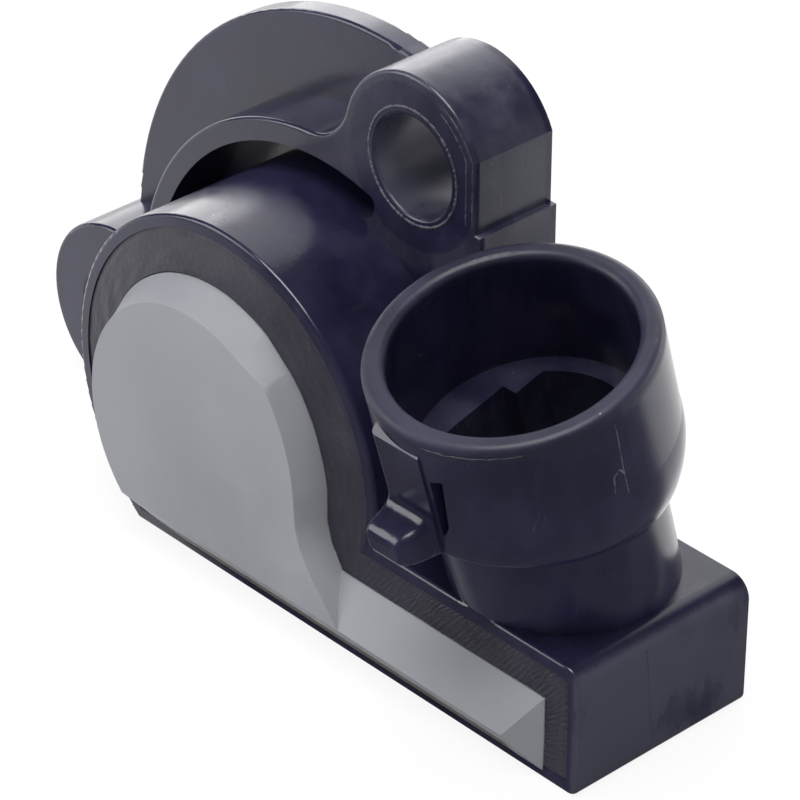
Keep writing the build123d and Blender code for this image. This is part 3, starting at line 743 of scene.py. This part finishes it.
# %% [markdown]
# ## Rolled rim strip
# The strip between the lip and the cover is where the roller ran. It is a sheet between two
# outlines, the lip and the cover's foot, each given by X and the height over the base. Its runs
# are the round, the rail and the rail's end.

# %% Strip outlines
lip_side = [
    arc((0, axis_height), 12.2, 230.4, -12.8),
    [(11.9, 7.5), (28.3, 7.5)],
    [(28.3, 7.5), (28.3, 0.8)],
]
cover_round = np.vstack([
    arc((-0.72, 9.73), 9.57, 248.9, 62),
    bow((5.8, 16.6), (7.75, 13.85), (8.85, 10.2)),
    [(8.85, 8.1), (9.2, 6.9), (10.1, 5.4)],
])
cover_side = [cover_round, [(10.1, 5.4), (26.5, 5.4)], [(26.5, 5.4), (26.5, 0.8)]]
steps = (1150, 380, 150)
outer = np.vstack([stations(run, count) for run, count in zip(lip_side, steps)])
inner = np.vstack([stations(run, count) for run, count in zip(cover_side, steps)])
share = np.concatenate([[0, 0.015], np.linspace(0.04, 0.96, 20), [0.985, 1]])
flat = outer[:, None] + share[None, :, None] * (inner - outer)[:, None]
walked = walked_lengths((outer + inner) / 2)
along = np.repeat(walked[:, None], len(share), 1)
across = share * np.linalg.norm(inner - outer, axis=1)[:, None]
print("strip length", round(walked[-1], 1), "mm")

# %% [markdown]
# The strip is not flat: the roller left shallow waves, long streaks and some grit, a groove
# beside the lip, and short cross dents near the rail's end. Their sum is laid over the sheet, and
# both edges are tucked under the rim's face so that no gap shows.

# %% Strip relief
dented_length, dents_rise, tucked = 24, 8, -0.05
near_end = np.clip((along - walked[-1] + dented_length) / dents_rise, 0, 1)
waves = 0.008 * ripple(0.4 * along, 1.5 * across, longest=2.0, shortest=0.8, seed=1)
streaks = 0.008 * ripple(0.04 * along, across, longest=0.5, shortest=0.16, seed=2)
grit = 0.003 * ripple(0.5 * along, 1.6 * across, longest=0.5, shortest=0.2, seed=3)
dents = 0.016 * near_end * ripple(along, 0.5 * across, longest=0.5, shortest=0.28, seed=4)
groove = 0.05 * np.exp(-((across - 0.2) / 0.09) ** 2)
relief = np.clip(0.05 + waves + streaks + grit + dents - groove, -0.02, 0.11)
relief[:, [0, -1]] = tucked
strip = np.stack([flat[..., 0], -rim_face - relief, flat[..., 1] - axis_height], -1)
carry("rim_strip", strip, rim_look)

# %% [markdown]
# ## Flash and mould lines
# Where mould halves meet, a thin ragged ridge of plastic squeezes out. It runs round the screw
# hole's mouth, down the ear's edge, along the block and up the socket. Each is a half-sunk
# ellipse carried along its line, with a ragged height that dies out at the ends.

# %% Ridge
forward = (0, -1, 0)


def ridge(path, normal, width, height, seed, ring=False):
    """Sections path + k * (width/2 * cos a * side + height * sin a * normal).

    k is a ragged height about 0.7, and goes to 0 over the last 0.08 of an open path.
    """
    step = np.roll(path, -1, 0) - np.roll(path, 1, 0) if ring else np.gradient(path, axis=0)
    normal = np.broadcast_to(np.asarray(normal, float), path.shape)
    side = np.cross(normal, step)
    side /= np.linalg.norm(side, axis=1)[:, None]
    walked = np.linalg.norm(step, axis=1).cumsum()
    ragged = ripple(walked, 0 * walked, longest=2.5, shortest=0.25, seed=seed)
    k = np.clip(0.7 + 0.3 * ragged, 0.15, 1.2)
    if not ring:
        t = np.linspace(0, 1, len(path))
        k *= np.sqrt(np.clip(np.minimum(t, 1 - t) / 0.08, 0.001, 1))
    a = np.linspace(0, 2 * np.pi, 10, endpoint=False)[None, :, None]
    section = width / 2 * np.cos(a) * side[:, None] + height * np.sin(a) * normal[:, None]
    return path[:, None] + k[:, None, None] * section


def flash(name, path, normal, width, height, seed, ring=False):
    """Make a ridge of worn plastic on the housing."""
    carry(name, ridge(path, normal, width, height, seed, ring), worn_look, ring)


def on_level(points, level):
    """Lift X and Z pairs to a level in front of the mounting face."""
    points = np.asarray(points, float)
    return np.stack([points[:, 0], np.full(len(points), -level), points[:, 1]], 1)


print("ridge helpers ready")

# %% [markdown]
# The flash round the hole stands a little off its centre, because the pin in the mould does. The
# ear's edge carries two lines, one on the edge and one inside it.

# %% Ear lines
hole_ring = on_level(arc((7.75, 17.45), 3.55, 0, 360, 721)[:-1], ear_face)
flash("hole_flash", hole_ring, forward, width=0.22, height=0.09, seed=5, ring=True)
for place, inset in enumerate((0.0, 0.5)):
    edge = np.vstack([
        arc(hole_foot[[0, 2]], ear_radius - inset, 62, 24),
        [(ear_flat - inset, 19.3), (ear_flat - inset, 15.5)],
    ])
    line = on_level(stations(edge, 300), ear_face)
    flash(f"ear_edge_{place}", line, forward, width=0.12, height=0.05, seed=7 + place)

# %% [markdown]
# The block's end shows the mould's parting line, and its front corner a thin burr.

# %% Block lines
parting_bends = [(block_end, -8.0, -2.7), (block_end, -7.65, -6.2), (block_end, -7.3, -9.4)]
parting = stations(parting_bends, 260)
flash("block_parting", parting, (1, 0, 0), width=0.1, height=0.05, seed=11)
corner = stations([(29.0, -13.1, -3.5), (29.0, -13.1, -9.5)], 260)
flash("block_edge", corner, (0.707, -0.707, 0), width=0.12, height=0.06, seed=12)

# %% [markdown]
# The socket has a parting line too, a fine line under its rim, and a scratch that raised a burr.
# They are drawn on its wall by turn and depth, because the socket leans.

# %% Socket marks
def on_shroud(turned, depth):
    """Points and outward normals on the socket's wall, by turn in degrees and depth in mm.

    Points are foot + radius * out + (height - depth) * axis, with out turned round the axis.
    """
    back_way = np.array([0, math.cos(socket_lean), math.sin(socket_lean)])
    a = np.radians(np.asarray(turned, float))[:, None]
    out = np.cos(a) * np.array([1.0, 0, 0]) + np.sin(a) * back_way
    rise = (socket_height - np.asarray(depth, float))[:, None]
    return socket_foot + socket_radius * out + rise * socket_axis, out


mould_line = np.linspace(0.9, 6.0, 200)
wall, out = on_shroud(-4.7 + 0.3 * np.sin(mould_line), mould_line)
flash("socket_parting", wall, out, width=0.07, height=0.025, seed=13)
scratch_line = stations([(-10.5, 5.4), (-9.6, 4.3), (-6.5, 4.05), (-4.6, 4.6)], 120)
wall, out = on_shroud(scratch_line[:, 0], scratch_line[:, 1])
flash("socket_scratch", wall, out, width=0.13, height=0.028, seed=17)
turned = np.linspace(-82, -40, 260)
waver = ripple(turned / 7, 0 * turned, longest=2.0, shortest=0.4, seed=19)
wall, out = on_shroud(turned, 0.58 + 0.02 * waver)
flash("socket_rim_line", wall, out, width=0.08, height=0.03, seed=23)

# %% [markdown]
# ## Soft cover edges
# A mould's corners are never quite sharp, and on the cover every bend catches a soft light. The
# piece is the solid's own shape: a copy of its mesh is merged, its flat faces are joined up
# again, and a narrow bevel rounds what is left. It stands in for the solid.

# %% Soft cover edges
def merged_copy(name, node_name):
    """Copy a solid's mesh into a new piece, with doubled points merged and flat faces joined."""
    mesh = nodes[node_name].data.copy()
    shape = bmesh.new()
    shape.from_mesh(mesh)
    bmesh.ops.remove_doubles(shape, verts=shape.verts, dist=1e-5)
    bmesh.ops.dissolve_limit(
        shape, angle_limit=math.radians(0.3), verts=shape.verts, edges=shape.edges)
    shape.to_mesh(mesh)
    shape.free()
    mesh.shade_smooth()
    piece = bpy.data.objects.new(name, mesh)
    bpy.context.scene.collection.objects.link(piece)
    print(name, len(mesh.polygons), "faces")
    return piece


soft_cover = merged_copy("soft_cover", "cover")
softening = soft_cover.modifiers.new("soft edges", "BEVEL")
softening.width = 0.18 * millimetre
softening.segments = 3
softening.limit_method = "ANGLE"
softening.angle_limit = math.radians(24)
softening.harden_normals = True
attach(soft_cover, "sensor_body")
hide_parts("cover")

# %% [markdown]
# ## Return spring
# One leg of the return spring stays at the housing's post and the other turns with the rotor, so
# the coil between them winds up. A rigid spring would be cut by the rotor at the end of its
# travel. The piece is a copy of the solid, with its placement baked into its points, and it
# stands in for the solid.

# %% Return spring
twisting_spring = merged_copy("twisting_spring", "return_spring")
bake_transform(twisting_spring)
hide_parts("return_spring")
